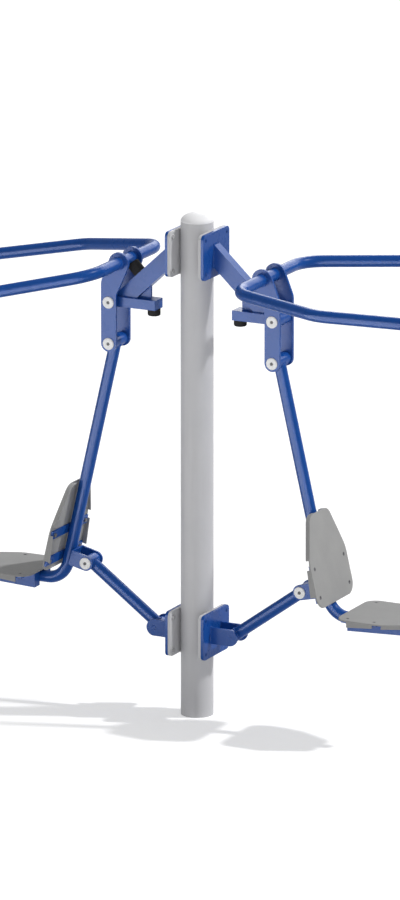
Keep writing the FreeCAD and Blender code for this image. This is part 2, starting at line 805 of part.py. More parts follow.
def draw_rail(sketch, wall):
    start = f"({SEAT_HEEL} + rail_start)"
    top = f"(seat_tube_height + {BAR_SEAT})"
    draw_runs(
        sketch,
        [
            (f"{start} + {wall}", f"{top} - {wall}", None),
            (f"{start} + rail_length - {wall}", f"{top} - {wall}", None),
            (f"{start} + rail_length - {wall}", f"{top} - rail_end_depth + {wall}", None),
            (f"{start} + {wall}", f"{top} - rail_depth + {wall}", None),
        ],
    )


def seat_rails():
    """A closed box rail on each side of the tube, deepest at the heel, under both bars of the seat."""
    body = new_body()
    tube_side = "rail_half_spacing - rail_width / 2"
    outside = new_sketch(body, "XZ_Plane", ("0", "0", tube_side))
    draw_rail(outside, "0")
    pad(body, outside, "rail_width")
    inside = new_sketch(body, "XZ_Plane", ("0", "0", f"{tube_side} + rail_wall"))
    draw_rail(inside, "rail_wall")
    pocket(body, inside, "rail_width - 2 * rail_wall", forward=True)
    return mirrored_pair(body)


def shell_bars(side):
    bars = [make_bar(row) for make_bar in (backrest_bar, seat_bar) for row in SHELL_SCREW_ROWS]
    return group(bars + [seat_rails()])


def shell_screw_places():
    return [(f"{sign} * shell_screw_half_spacing", row) for sign in (-1, 1) for row in SHELL_SCREW_ROWS]


def tray(layer, side_point):
    """The moulded tray. Layer gives a sketch at a distance in front of the rim's back, and side_point
    the X and Z of a point given from the heel towards the nose and in front of the rim's back."""
    body = new_body()
    outline = layer(body, "0")
    sides = []
    for sign in ("-", ""):
        half = [
            (f"{sign}shell_half_width", "0", "shell_heel_radius"),
            (f"{sign}shell_half_width", "shell_straight", "shell_side_radius"),
            (f"{sign}shell_nose_half_width", "shell_length", "shell_nose_radius"),
        ]
        sides.append(half)
    draw_runs(outline, sides[1] + sides[0][::-1])
    block = pad(body, outline, "shell_depth")
    doc.recompute()
    back = outline.Placement.Base
    normal = outline.Placement.Rotation.multVec(ALONG_Z)
    depths = [normal.dot(face.CenterOfMass - back) for face in block.Shape.Faces]
    hollow = body.newObject("PartDesign::Thickness", "hollow")
    hollow.Base = (block, [f"Face{depths.index(min(depths)) + 1}"])
    hollow.Reversed = True
    bind(hollow, {"Value": "shell_wall"})
    body.Tip = hollow
    doc.recompute()
    front = number("shell_depth")
    rim_edges = [
        f"Edge{index}"
        for index, edge in enumerate(hollow.Shape.Edges, start=1)
        if all(math.isclose(normal.dot(vertex.Point - back), front) for vertex in edge.Vertexes)
    ]
    rounding = body.newObject("PartDesign::Fillet", "rounding")
    rounding.Base = (hollow, rim_edges)
    bind(rounding, {"Radius": "shell_edge_radius"})
    body.Tip = rounding
    rim_cuts = layer(body, "0")
    wide = "(shell_half_width + shell_wall)"
    draw_box(rim_cuts, f"-{wide}", "-shell_wall", wide, "heel_opening")
    draw_box(rim_cuts, f"-{wide}", "side_notch_start", wide, "side_notch_start + side_notch_length")
    narrow = "(tube_diameter / 2 + shell_wall)"
    draw_box(rim_cuts, f"-{narrow}", "shell_length - nose_notch_length", narrow, "shell_length + shell_wall")
    pocket(body, rim_cuts, "shell_depth - shell_wall", forward=True)
    for radius, depth in (("screw_diameter", "shell_depth"), ("screw_head_diameter", "screw_head_height")):
        holes = layer(body, "shell_depth")
        for x, y in shell_screw_places():
            draw_circle(holes, x, y, f"{radius} / 2 + screw_fit")
        pocket(body, holes, depth)
    for inner_face in ("shell_half_width - shell_wall", "-shell_half_width"):
        skirt = new_sketch(body, "XZ_Plane", ("0", "0", inner_face))
        corners = (("heel_opening", "0"), ("side_notch_start", "0"), ("heel_opening", "-shell_heel_skirt"))
        draw_runs(skirt, [(*side_point(*corner), None) for corner in corners])
        pad(body, skirt, "shell_wall")
    return body


def backrest_shell(side):
    def layer(body, forward):
        reach, height = frame_point(BACKREST_HEEL, f"{SHELL_FRONT} - shell_depth + {forward}")
        return new_sketch(body, "YZ_Plane", ("0", height, reach), ALONG_X, "-recline")

    def side_point(from_heel, forward):
        return frame_point(f"{BACKREST_HEEL} - {from_heel}", f"{SHELL_FRONT} - shell_depth + {forward}")

    return tray(layer, side_point)


def seat_shell(side):
    def layer(body, forward):
        height = f"{SEAT_SURFACE} - shell_depth + {forward}"
        return new_sketch(body, "XY_Plane", (SEAT_HEEL, "0", height), ALONG_Z, "-90")

    def side_point(from_heel, forward):
        return f"{SEAT_HEEL} + {from_heel}", f"{SEAT_SURFACE} - shell_depth + {forward}"

    return tray(layer, side_point)


def shell_screws(side):
    grip = "(shell_wall + bar_thickness)"
    screws = []
    for y, row in shell_screw_places():
        reach, height = frame_point(f"{BACKREST_HEEL} - {row}", SHELL_FRONT)
        screws.append(place(socket_screw(grip), (reach, y, height), ALONG_Y, "90 - recline"))
        screws.append(place(socket_screw(grip), (f"{SEAT_HEEL} + {row}", y, SEAT_SURFACE)))
    return group(screws)


def link_tube(side):
    run, rise = f"({LINK_REACH} - lower_pivot_reach)", f"({LINK_HEIGHT} - lower_flange_height)"
    tube = sleeve("tube_diameter / 2", "tube_diameter / 2 - tube_wall", f"sqrt({run} ^ 2 + {rise} ^ 2)")
    place(tube, ("lower_pivot_reach", "0", "lower_flange_height"), ALONG_Y, f"atan({run} / {rise})")
    spaces = []
    for reach, height in (("lower_pivot_reach", "lower_flange_height"), (LINK_REACH, LINK_HEIGHT)):
        space = cylinder("hub_diameter / 2 + weld_gap", "lower_ear_gap")
        spaces.append(across(space, reach, height, "lower_ear_gap"))
    return cut(tube, fuse(spaces))


def link_hubs(side):
    lower_length, upper_length = "(lower_ear_gap - 2 * side_play)", "(clevis_gap - 2 * side_play)"
    lower = sleeve("hub_diameter / 2", "lower_pin_diameter / 2 + running_fit", lower_length)
    across(lower, "lower_pivot_reach", "lower_flange_height", lower_length)
    upper = sleeve("hub_diameter / 2", "link_pin_diameter / 2 + link_play", upper_length)
    across(upper, LINK_REACH, LINK_HEIGHT, upper_length)
    return group([lower, upper])


SHARED_PIECES = (post, post_cap, post_flanges)
STATION_PIECES = (
    upper_bracket_plate,
    lower_bracket_plate,
    flange_screws,
    upper_arm,
    stop_arm,
    stop_bumpers,
    pivot_housing,
    main_bearings,
    lower_ears,
    lower_pin,
    lever_plates,
    main_axle,
    hanger_axle,
    lever_caps,
    handle_bar,
    handle_plugs,
    hanger_hub,
    seat_tube,
    seat_tube_plug,
    link_clevis,
    link_pin,
    link_caps,
    shell_bars,
    backrest_shell,
    seat_shell,
    shell_screws,
    link_tube,
    link_hubs,
)

nodes = []
for make in SHARED_PIECES:
    node = make()
    node.Label = make.__name__
    nodes.append(node)
for side, bearing in BEARINGS.items():
    for make in STATION_PIECES:
        node = make(side)
        node.Label = f"{side}_{make.__name__}"
        node.Placement = FreeCAD.Placement(ORIGIN, FreeCAD.Rotation(ALONG_Z, bearing))
        nodes.append(node)
doc.recompute()

failed = [item.Label for item in doc.Objects if {"Invalid", "Error"} & set(item.State)]
failed += [node.Label for node in nodes if node.Shape.isNull() or not node.Shape.isValid()]
if failed:
    raise RuntimeError(f"these pieces failed: {failed}")
os.makedirs("parts", exist_ok=True)
for node in nodes:
    node.Shape.exportStep(f"parts/{node.Label}.step")
    print(node.Label, len(node.Shape.Solids), "solids", round(node.Shape.Volume), "mm3")
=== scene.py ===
import json
import math

import bmesh
import bpy
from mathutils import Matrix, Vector

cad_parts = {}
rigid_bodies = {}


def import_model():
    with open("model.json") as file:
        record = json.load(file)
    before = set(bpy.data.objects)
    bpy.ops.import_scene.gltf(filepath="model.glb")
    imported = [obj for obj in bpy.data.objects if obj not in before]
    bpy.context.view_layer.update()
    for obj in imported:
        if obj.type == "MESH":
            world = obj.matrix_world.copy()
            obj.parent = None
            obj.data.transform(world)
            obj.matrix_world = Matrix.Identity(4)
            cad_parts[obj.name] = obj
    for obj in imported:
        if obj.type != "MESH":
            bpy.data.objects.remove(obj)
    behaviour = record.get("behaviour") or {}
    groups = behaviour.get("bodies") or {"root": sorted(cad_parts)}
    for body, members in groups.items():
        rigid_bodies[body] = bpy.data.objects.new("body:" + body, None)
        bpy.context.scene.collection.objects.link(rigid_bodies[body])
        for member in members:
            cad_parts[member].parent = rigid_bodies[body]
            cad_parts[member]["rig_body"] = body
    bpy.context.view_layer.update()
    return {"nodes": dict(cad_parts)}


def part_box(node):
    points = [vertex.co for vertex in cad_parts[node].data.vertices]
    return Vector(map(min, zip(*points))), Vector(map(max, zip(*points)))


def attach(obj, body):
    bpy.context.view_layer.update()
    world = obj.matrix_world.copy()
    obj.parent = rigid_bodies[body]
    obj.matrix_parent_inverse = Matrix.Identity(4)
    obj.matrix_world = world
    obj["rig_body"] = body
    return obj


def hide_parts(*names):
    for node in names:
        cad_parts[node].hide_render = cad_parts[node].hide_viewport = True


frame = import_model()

SIDES = {"right": 1, "left": -1}


# The post is one round steel pipe that stands on the ground and carries both stations.
# It is blasted, zinc primed and powder coated pale grey; a moulded dome closes its top.
def new_finish(name, colour, roughness, **constants):
    """A node material with its shader; constants are set on the shader's own sockets."""
    finish = bpy.data.materials.new(name)
    finish.use_nodes = True
    shader = finish.node_tree.nodes["Principled BSDF"]
    shader.inputs["Base Color"].default_value = (*colour, 1)
    shader.inputs["Roughness"].default_value = roughness
    for socket, value in constants.items():
        shader.inputs[socket.replace("_", " ")].default_value = value
    return finish


def add_step(tree, kind, settings=None, **links):
    """Adds a node to a tree; links gives each input a value or another node's output."""
    node = tree.nodes.new(kind)
    for name, value in (settings or {}).items():
        setattr(node, name, value)
    for name, value in links.items():
        key = int(name[1:]) if name[0] == "i" and name[1:].isdigit() else name.replace("_", " ")
        if isinstance(value, bpy.types.NodeSocket):
            tree.links.new(value, node.inputs[key])
        else:
            node.inputs[key].default_value = value
    return node


def add_node(finish, kind, settings=None, **links):
    return add_step(finish.node_tree, f"ShaderNode{kind}", settings, **links)


def surface_point(finish, stretch=(1, 1, 1)):
    """Places on the piece in metres, squeezed along each axis by stretch."""
    coordinates = add_node(finish, "TexCoord")
    return add_node(finish, "Mapping", Vector=coordinates.outputs["Object"], Scale=stretch).outputs[0]


def speckle(finish, point, size, detail=2.0, roughness=0.5):
    """Noise whose spots are about size metres across."""
    return add_node(
        finish, "TexNoise", Vector=point, Scale=1 / size, Detail=detail, Roughness=roughness
    ).outputs["Fac"]


def spread(finish, source, low, high, start=0.3, end=0.7):
    """Maps a noise's usual range to low and high."""
    node = add_node(finish, "MapRange", Value=source)
    for name, value in (("From Min", start), ("From Max", end), ("To Min", low), ("To Max", high)):
        node.inputs[name].default_value = value
    return node.outputs[0]


def blend_colours(finish, share, first, second):
    """Mixes two colours, each given as a value or a socket, by share."""
    node = add_node(finish, "Mix", {"data_type": "RGBA"})
    for place, value in ((0, share), (6, first), (7, second)):
        if isinstance(value, bpy.types.NodeSocket):
            finish.node_tree.links.new(value, node.inputs[place])
        else:
            node.inputs[place].default_value = value if place == 0 else (*value, 1)
    return node.outputs[2]


def worn_edges(finish, reach, patches):
    """A share that is high along outside edges, broken up by patches."""
    rounded = add_node(finish, "Bevel", {"samples": 4}, Radius=reach)
    geometry = add_node(finish, "NewGeometry")
    likeness = add_node(
        finish,
        "VectorMath",
        {"operation": "DOT_PRODUCT"},
        i0=rounded.outputs[0],
        i1=geometry.outputs["Normal"],
    ).outputs["Value"]
    edge = spread(finish, likeness, low=1, high=0, start=0.75, end=0.97)
    return add_node(finish, "Math", {"operation": "MULTIPLY"}, i0=edge, i1=patches).outputs[0]


def link_finish(finish, colour=None, roughness=None, height=None, relief=0.0005, strength=0.2):
    """Joins a material's patterns to its shader; height becomes a bump of relief metres."""
    shader = finish.node_tree.nodes["Principled BSDF"]
    if colour is not None:
        finish.node_tree.links.new(colour, shader.inputs["Base Color"])
    if roughness is not None:
        finish.node_tree.links.new(roughness, shader.inputs["Roughness"])
    if height is not None:
        bump = add_node(finish, "Bump", Height=height, Strength=strength, Distance=relief)
        finish.node_tree.links.new(bump.outputs[0], shader.inputs["Normal"])
    return finish


def dress(piece, finish):
    """Gives every face of a piece one finish."""
    piece.data.materials.clear()
    piece.data.materials.append(finish)


def grey_coat():
    finish = new_finish("grey_coat", (0.59, 0.59, 0.605), 0.42, Specular_IOR_Level=0.04)
    point = surface_point(finish)
    run_marks = surface_point(finish, (1, 1, 0.08))
    clouds = speckle(finish, point, size=0.16, detail=3)
    streaks = speckle(finish, run_marks, size=0.02, detail=3)
    share = spread(finish, clouds, low=0, high=1)
    tone = blend_colours(finish, share, (0.575, 0.577, 0.595), (0.615, 0.613, 0.63))
    share = spread(finish, streaks, low=0, high=0.35, start=0.5, end=0.75)
    tone = blend_colours(finish, share, tone, (0.53, 0.53, 0.54))
    patches = speckle(finish, point, size=0.012, detail=4)
    scuffs = spread(finish, patches, low=0, high=0.5, start=0.55, end=0.8)
    share = worn_edges(finish, reach=0.0025, patches=scuffs)
    tone = blend_colours(finish, share, tone, (0.66, 0.66, 0.67))
    gloss = spread(finish, clouds, low=0.36, high=0.48)
    peel = speckle(finish, point, size=0.0035, detail=1)
    return link_finish(finish, tone, gloss, peel, relief=0.0004, strength=0.1)


def cap_plastic():
    finish = new_finish("cap_plastic", (0.86, 0.86, 0.88), 0.42, Specular_IOR_Level=0.06)
    point = surface_point(finish)
    clouds = speckle(finish, point, size=0.05, detail=3)
    share = spread(finish, clouds, low=0, high=1)
    tone = blend_colours(finish, share, (0.84, 0.84, 0.86), (0.88, 0.88, 0.895))
    gloss = spread(finish, clouds, low=0.32, high=0.44)
    peel = speckle(finish, point, size=0.002, detail=2)
    return link_finish(finish, tone, gloss, peel, relief=0.0003, strength=0.12)


post_paint = grey_coat()
dress(frame["nodes"]["post"], post_paint)
dress(frame["nodes"]["post_cap"], cap_plastic())


# Four grey flanges are welded to the post, and a blue bracket plate is screwed to each.
# The plates are flame cut from thick steel, with their edges dressed round before coating.
MERGE_DISTANCE = 1e-5
FLAT_ANGLE = math.radians(0.3)
SHARP_ANGLE = math.radians(35)


def soften_edges(node, width, finish, steps=3):
    """A copy of a solid with its hard edges rounded, standing in for that solid."""
    source = frame["nodes"][node]
    mesh = bpy.data.meshes.new(f"{node}_dressed")
    work = bmesh.new()
    work.from_mesh(source.data)
    bmesh.ops.remove_doubles(work, verts=work.verts, dist=MERGE_DISTANCE)
    bmesh.ops.dissolve_limit(work, angle_limit=FLAT_ANGLE, verts=work.verts, edges=work.edges)
    work.to_mesh(mesh)
    work.free()
    if "custom_normal" in mesh.attributes:
        mesh.attributes.remove(mesh.attributes["custom_normal"])
    mesh.shade_smooth()
    rough = bpy.data.objects.new(f"{node}_rough", mesh)
    bpy.context.scene.collection.objects.link(rough)
    rounding = rough.modifiers.new("rounding", "BEVEL")
    rounding.limit_method = "ANGLE"
    rounding.angle_limit = SHARP_ANGLE
    rounding.width = width
    rounding.segments = steps
    rounding.harden_normals = True
    finished = bake(rough, f"{node}_dressed")
    dress(finished, finish)
    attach(finished, source["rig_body"])
    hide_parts(node)


def bake(rough, name):
    """Turns an object with its modifiers into a plain mesh object of that name."""
    bpy.context.view_layer.update()
    evaluated = rough.evaluated_get(bpy.context.evaluated_depsgraph_get())
    mesh = bpy.data.meshes.new_from_object(evaluated)
    bpy.data.objects.remove(rough)
    mesh.name = name
    finished = bpy.data.objects.new(name, mesh)
    bpy.context.scene.collection.objects.link(finished)
    return finished


def blue_coat():
    finish = new_finish("blue_coat", (0.009, 0.068, 0.3), 0.28, Specular_IOR_Level=0.09)
    point = surface_point(finish)
    clouds = speckle(finish, point, size=0.12, detail=3)
    share = spread(finish, clouds, low=0, high=1)
    tone = blend_colours(finish, share, (0.008, 0.064, 0.285), (0.010, 0.072, 0.315))
    patches = speckle(finish, point, size=0.01, detail=4)
    scuffs = spread(finish, patches, low=0.1, high=0.6, start=0.5, end=0.8)
    share = worn_edges(finish, reach=0.002, patches=scuffs)
    tone = blend_colours(finish, share, tone, (0.06, 0.14, 0.40))
    gloss = spread(finish, speckle(finish, point, size=0.05, detail=3), low=0.23, high=0.33)
    peel = speckle(finish, point, size=0.003, detail=1)
    return link_finish(finish, tone, gloss, peel, relief=0.0004, strength=0.06)


blue_paint = blue_coat()
PLATE_EDGE = 0.0016
soften_edges("post_flanges", PLATE_EDGE, post_paint)
for side in SIDES:
    for level in ("upper", "lower"):
        soften_edges(f"{side}_{level}_bracket_plate", PLATE_EDGE, blue_paint)


# Flush socket screws hold the bracket plates to the flanges and the mouldings to their bars.
# Those in the mouldings are dull zinc. The flange screws are coated over with what they hold,
# so their nuts are grey on the post's side and their heads dark blue on the brackets' side.
def zinc_coat(name, shade):
    finish = new_finish(name, (shade, shade, shade), 0.5, Specular_IOR_Level=0.1)
    point = surface_point(finish)
    spots = speckle(finish, point, size=0.004, detail=3)
    dull, bright = ((shade * share, shade * share, shade * share * 1.07) for share in (0.7, 1.4))
    share = spread(finish, spots, low=0, high=1)
    tone = blend_colours(finish, share, dull, bright)
    gloss = spread(finish, spots, low=0.3, high=0.5)
    peel = speckle(finish, point, size=0.0012, detail=2)
    return link_finish(finish, tone, gloss, peel, relief=0.0002, strength=0.2)


SEAM_HALF = 0.0005


def screw_coat(flange_face):
    """Grey nearer to the post than the flange's face, blue beyond it."""
    finish = new_finish("screw_coat", (0.3, 0.3, 0.31), 0.45, Specular_IOR_Level=0.09)
    point = surface_point(finish)
    along = add_node(finish, "SeparateXYZ", Vector=point).outputs["X"]
    outward = add_node(finish, "Math", {"operation": "ABSOLUTE"}, i0=along).outputs[0]
    beyond = spread(
        finish,
        outward,
        low=0,
        high=1,
        start=flange_face - SEAM_HALF,
        end=flange_face + SEAM_HALF,
    )
    grime = speckle(finish, point, size=0.006, detail=3)
    share = spread(finish, grime, low=0, high=1)
    grey = blend_colours(finish, share, (0.38, 0.38, 0.39), (0.46, 0.46, 0.47))
    tone = blend_colours(finish, beyond, grey, (0.007, 0.055, 0.25))
    gloss = spread(finish, grime, low=0.38, high=0.5)
    peel = speckle(finish, point, size=0.0012, detail=2)
    return link_finish(finish, tone, gloss, peel, relief=0.0002, strength=0.15)


dull_zinc = zinc_coat("dull_zinc", 0.15)
screw_paint = screw_coat(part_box("post_flanges")[1].x)
for side in SIDES:
    dress(frame["nodes"][f"{side}_flange_screws"], screw_paint)
    dress(frame["nodes"][f"{side}_shell_screws"], dull_zinc)


# The sloping arm and the stop arm are box sections with a gusset between them.
# Cold-formed box section has rounded corners, and all of it is coated blue after welding.
BOX_CORNER = 0.004
HUB_EDGE = 0.001
for side in SIDES:
    for piece in ("upper_arm", "stop_arm"):
        soften_edges(f"{side}_{piece}", BOX_CORNER, blue_paint)
    for piece in ("pivot_housing", "hanger_hub", "link_hubs"):
        soften_edges(f"{side}_{piece}", HUB_EDGE, blue_paint)


# Rubber buffers stop the lever at both ends of its swing.
# They are black moulded rubber, dull and slightly dusty.
def stop_rubber():
    finish = new_finish("stop_rubber", (0.008, 0.008, 0.009), 0.8, Specular_IOR_Level=0.05)
    point = surface_point(finish)
    dust = speckle(finish, point, size=0.015, detail=4)
    share = spread(finish, dust, low=0, high=1, start=0.45, end=0.75)
    tone = blend_colours(finish, share, (0.006, 0.006, 0.007), (0.016, 0.016, 0.016))
    gloss = spread(finish, dust, low=0.7, high=0.9)
    peel = speckle(finish, point, size=0.0015, detail=2)
    return link_finish(finish, tone, gloss, peel, relief=0.0003, strength=0.3)


buffer_rubber = stop_rubber()
for side in SIDES:
    dress(frame["nodes"][f"{side}_stop_bumpers"], buffer_rubber)


# The axles, pins and bearing rings are turned bright steel, hidden by the caps and hubs.
# Turning leaves fine rings across the axis. The lower pin's ends are coated with the ears.
def turned_steel():
    finish = new_finish("turned_steel", (0.5, 0.5, 0.5), 0.3, Metallic=1.0)
    rings = surface_point(finish, (0.2, 12, 0.2))
    grain = speckle(finish, rings, size=0.006, detail=3)
    share = spread(finish, grain, low=0, high=1)
    tone = blend_colours(finish, share, (0.42, 0.42, 0.43), (0.56, 0.56, 0.56))
    gloss = spread(finish, grain, low=0.22, high=0.4)
    return link_finish(finish, tone, gloss, grain, relief=0.0002, strength=0.15)


bright_steel = turned_steel()
for side in SIDES:
    dress(frame["nodes"][f"{side}_lower_pin"], blue_paint)
    for piece in ("main_bearings", "main_axle", "hanger_axle", "link_pin"):
        dress(frame["nodes"][f"{side}_{piece}"], bright_steel)


# The lever is a pair of plates on each side of the pivot housing.
# They are cut from flat steel, edge dressed and coated like the rest of the frame.
for side in SIDES:
    for piece in ("lever_plates", "lower_ears", "link_clevis"):
        soften_edges(f"{side}_{piece}", PLATE_EDGE, blue_paint)


# White caps cover the ends of the pivot axles, and a dark bolt shows in the middle of each.
# The caps are moulded nylon: smooth, slightly glossy, a little grey with handling.
def white_nylon():
    finish = new_finish("white_nylon", (0.82, 0.82, 0.83), 0.35, Specular_IOR_Level=0.12)
    point = surface_point(finish)
    marks = speckle(finish, point, size=0.01, detail=4)
    share = spread(finish, marks, low=0, high=1)
    tone = blend_colours(finish, share, (0.79, 0.79, 0.785), (0.88, 0.88, 0.88))
    gloss = spread(finish, marks, low=0.28, high=0.45)
    peel = speckle(finish, point, size=0.0015, detail=2)
    return link_finish(finish, tone, gloss, peel, relief=0.0002, strength=0.1)


def new_tree(name, **inputs):
    """A node tree that takes and gives a mesh, with named inputs of the kinds given."""
    tree = bpy.data.node_groups.new(name, "GeometryNodeTree")
    tree.interface.new_socket("Geometry", in_out="OUTPUT", socket_type="NodeSocketGeometry")
    tree.interface.new_socket("Geometry", in_out="INPUT", socket_type="NodeSocketGeometry")
    for label, kind in inputs.items():
        shown = label.replace("_", " ")
        tree.interface.new_socket(shown, in_out="INPUT", socket_type=f"NodeSocket{kind}")
    return tree


def end_tree(tree, copies, finish):
    """Turns the copies into one mesh with its finish and hands it out."""
    mesh = add_step(tree, "GeometryNodeRealizeInstances", Geometry=copies).outputs[0]
    coated = add_step(tree, "GeometryNodeSetMaterial", Geometry=mesh, Material=finish).outputs[0]
    add_step(tree, "NodeGroupOutput", Geometry=coated)
    return tree


def run_tree(tree, mesh, name, body, slot, **values):
    """Grows a tree on a mesh, as a piece that rides on a body."""
    rough = bpy.data.objects.new(f"{name}_start", mesh)
    bpy.context.scene.collection.objects.link(rough)
    grown = rough.modifiers.new("grown", "NODES")
    grown.node_group = tree
    for item in tree.interface.items_tree:
        label = item.name.replace(" ", "_")
        if label in values:
            grown[item.identifier] = values[label]
    finished = bake(rough, name)
    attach(finished, body)


BOLT_RADIUS = 0.0055
BOLT_HEIGHT = 0.0012
BOLT_SIDES = 24
SOCKET_DEPTH = 0.0025


def bolt_tree():
    """A flat bolt head across each point, facing along Y."""
    tree = new_tree("cap_bolts", Radius="Float", Height="Float", Finish="Material")
    given = add_step(tree, "NodeGroupInput").outputs
    head = add_step(
        tree,
        "GeometryNodeMeshCylinder",
        Vertices=BOLT_SIDES,
        Radius=given["Radius"],
        Depth=given["Height"],
    ).outputs[0]
    copies = add_step(
        tree,
        "GeometryNodeInstanceOnPoints",
        Points=given["Geometry"],
        Instance=head,
        Rotation=(math.pi / 2, 0, 0),
    ).outputs[0]
    return end_tree(tree, copies, given["Finish"])


def solid_boxes(node):
    """The lowest and highest corner of each separate solid of a node."""
    work = bmesh.new()
    work.from_mesh(frame["nodes"][node].data)
    bmesh.ops.remove_doubles(work, verts=work.verts, dist=MERGE_DISTANCE)
    waiting = set(work.verts)
    boxes = []
    while waiting:
        group = {waiting.pop()}
        edge = list(group)
        while edge:
            near = {link.other_vert(corner) for corner in edge for link in corner.link_edges} - group
            group |= near
            edge = list(near)
        waiting -= group
        places = [corner.co for corner in group]
        low = Vector([min(place[axis] for place in places) for axis in range(3)])
        high = Vector([max(place[axis] for place in places) for axis in range(3)])
        boxes.append((low, high))
    work.free()
    return boxes


cap_nylon = white_nylon()
black_zinc = zinc_coat("black_zinc", 0.05)
bolts = bolt_tree()
for side in SIDES:
    for piece, body in (("lever_caps", "lever"), ("link_caps", "seat_frame")):
        dress(frame["nodes"][f"{side}_{piece}"], cap_nylon)
        floors = []
        for low, high in solid_boxes(f"{side}_{piece}"):
            centre = (low + high) / 2
            outward = 1 if centre.y > 0 else -1
            from_centre = (high.y - low.y + BOLT_HEIGHT) / 2 - SOCKET_DEPTH
            floors.append(centre + Vector((0, outward * from_centre, 0)))
        sockets = bpy.data.meshes.new(f"{side}_{piece}_sockets")
        sockets.from_pydata(floors, [], [])
        run_tree(
            bolts,
            sockets,
            f"{side}_{body}_cap_bolts",
            f"{side}_{body}",
            "screw_steel",
            Radius=BOLT_RADIUS,
            Height=BOLT_HEIGHT,
            Finish=black_zinc,
        )


# The handle, the seat frame and the link are one size of round tube, bent and coated blue.
# Black moulded plugs close the open tube ends.
def plug_moulding():
    finish = new_finish("plug_moulding", (0.02, 0.02, 0.022), 0.5, Specular_IOR_Level=0.1)
    point = surface_point(finish)
    marks = speckle(finish, point, size=0.008, detail=3)
    share = spread(finish, marks, low=0, high=1)
    tone = blend_colours(finish, share, (0.016, 0.016, 0.018), (0.032, 0.032, 0.034))
    gloss = spread(finish, marks, low=0.42, high=0.6)
    peel = speckle(finish, point, size=0.001, detail=2)
    return link_finish(finish, tone, gloss, peel, relief=0.0002, strength=0.2)


plug_plastic = plug_moulding()
for side in SIDES:
    for piece in ("handle_bar", "seat_tube", "link_tube"):
        dress(frame["nodes"][f"{side}_{piece}"], blue_paint)
    for piece in ("handle_plugs", "seat_tube_plug"):
        dress(frame["nodes"][f"{side}_{piece}"], plug_plastic)


# Flat bars across the tube and box rails under the seat carry the mouldings.
# They are welded to the tube and coated with it.
for side in SIDES:
    soften_edges(f"{side}_shell_bars", HUB_EDGE, blue_paint)


# Weld beads run round the joints of the frame, which was welded up before it was coated.
# Each is a row of overlapping ripples of steel, about 6 mm wide, under the same coat.
BEAD_RADIUS = 0.003
RIPPLE_PITCH = 0.0022
RIPPLE_UNEVENNESS = 0.12
RIPPLE_SHAPE = (1, 1, 0.7)
BEAD_SEED = 7
FLANGE_THICKNESS = 0.010
HANDLE_FROM_PIVOT = Vector((-0.0397, 0, 0.143))
LEVER_FACES = (0.046, 0.056)
RECLINE = math.radians(13.1)
CLEVIS_FROM_TUBE = 0.0835
CLEVIS_RISE = 0.027
LOOP_STEPS = 40


def bead_tree():
    """A row of flattened balls along each path, a little uneven in size."""
    tree = new_tree(
        "weld_bead",
        Bead_Radius="Float",
        Ripple_Pitch="Float",
        Smallest="Float",
        Largest="Float",
        Seed="Int",
        Finish="Material",
    )
    given = add_step(tree, "NodeGroupInput").outputs
    path = add_step(tree, "GeometryNodeMeshToCurve", Mesh=given["Geometry"]).outputs[0]
    pitched = add_step(
        tree,
        "GeometryNodeResampleCurve",
        {"mode": "LENGTH"},
        Curve=path,
        Length=given["Ripple Pitch"],
    ).outputs[0]
    ball = add_step(
        tree,
        "GeometryNodeMeshIcoSphere",
        Radius=given["Bead Radius"],
        Subdivisions=2,
    ).outputs[0]
    ripple = add_step(tree, "GeometryNodeSetShadeSmooth", Geometry=ball).outputs[0]
    along = add_step(tree, "GeometryNodeInputTangent").outputs[0]
    heading = add_step(tree, "FunctionNodeAlignRotationToVector", Vector=along).outputs[0]
    uneven = add_step(
        tree,
        "FunctionNodeRandomValue",
        i2=given["Smallest"],
        i3=given["Largest"],
        Seed=given["Seed"],
    ).outputs[1]
    size = add_step(
        tree,
        "ShaderNodeVectorMath",
        {"operation": "SCALE"},
        i0=RIPPLE_SHAPE,
        Scale=uneven,
    ).outputs[0]
    copies = add_step(
        tree,
        "GeometryNodeInstanceOnPoints",
        Points=pitched,
        Instance=ripple,
        Rotation=heading,
        Scale=size,
    ).outputs[0]
    return end_tree(tree, copies, given["Finish"])


def node_points(node):
    return [corner.co for corner in frame["nodes"][node].data.vertices]


def foot_loop(points):
    """The rectangle round a flat end that stands square to an axis."""
    low, high = ([pick(point[axis] for point in points) for axis in range(3)] for pick in (min, max))
    flat = min(range(3), key=lambda axis: high[axis] - low[axis])
    first, second = (axis for axis in range(3) if axis != flat)
    loop = []
    for ends in ((low, low), (high, low), (high, high), (low, high)):
        corner = Vector(low)
        corner[first] = ends[0][first]
        corner[second] = ends[1][second]
        loop.append(corner)
    return loop


def ring(centre, radius):
    """A loop round a tube that lies along Y."""
    turns = [math.tau * step / LOOP_STEPS for step in range(LOOP_STEPS)]
    return [centre + Vector((radius * math.cos(turn), 0, radius * math.sin(turn))) for turn in turns]


def saddle(centre, heading, tube_radius, hub_radius):
    """The loop where a tube that leaves a cross hub along heading meets it."""
    beside = Vector((0, 1, 0)).cross(heading)
    loop = []
    for step in range(LOOP_STEPS):
        turn = math.tau * step / LOOP_STEPS
        reach = tube_radius * math.cos(turn)
        lift = math.sqrt(hub_radius**2 - reach**2)
        across = Vector((0, tube_radius * math.sin(turn), 0))
        loop.append(centre + beside * reach + across + heading * lift)
    return loop


def middle(node):
    low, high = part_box(node)
    return (low + high) / 2


